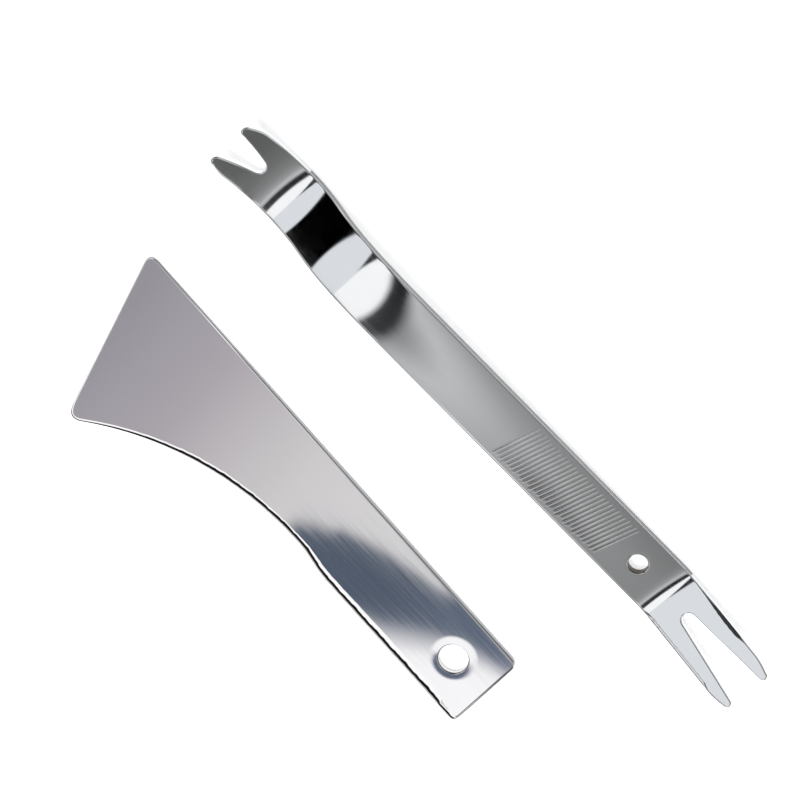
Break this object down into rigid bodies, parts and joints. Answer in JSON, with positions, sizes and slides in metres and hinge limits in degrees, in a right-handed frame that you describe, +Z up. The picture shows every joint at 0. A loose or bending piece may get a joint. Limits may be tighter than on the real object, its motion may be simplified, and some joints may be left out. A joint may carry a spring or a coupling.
{
  "type": "pry tool set",
  "caption": "Polished steel pry tools side by side: a strip bar bent to a fork at each end and a flat wedge scraper with a swept blade.",
  "frame": {"origin": "middle of the set's footprint, on the table that both tools lie on", "axes": "+X along the bar towards its short upturned fork, which is also the wedge's blade end; +Y from the bar towards the wedge; +Z up"},
  "size_m": [0.2338, 0.1184, 0.0117],
  "materials": {
    "bar_steel": "mirror-polished stainless strip with fine lengthwise polishing lines",
    "wedge_steel": "fine lengthwise brushed stainless plate with polished, rounded edges"
  },
  "bodies": {
    "bar": {"forked_pry_bar": "bar_steel"},
    "wedge": {"wedge_scraper": "wedge_steel"}
  },
  "joints": [
    {"name": "wedge_lift", "type": "slide", "parent": "bar", "child": "wedge", "axis": [0, 0, 1], "range_m": [0, 0.06]}
  ]
}
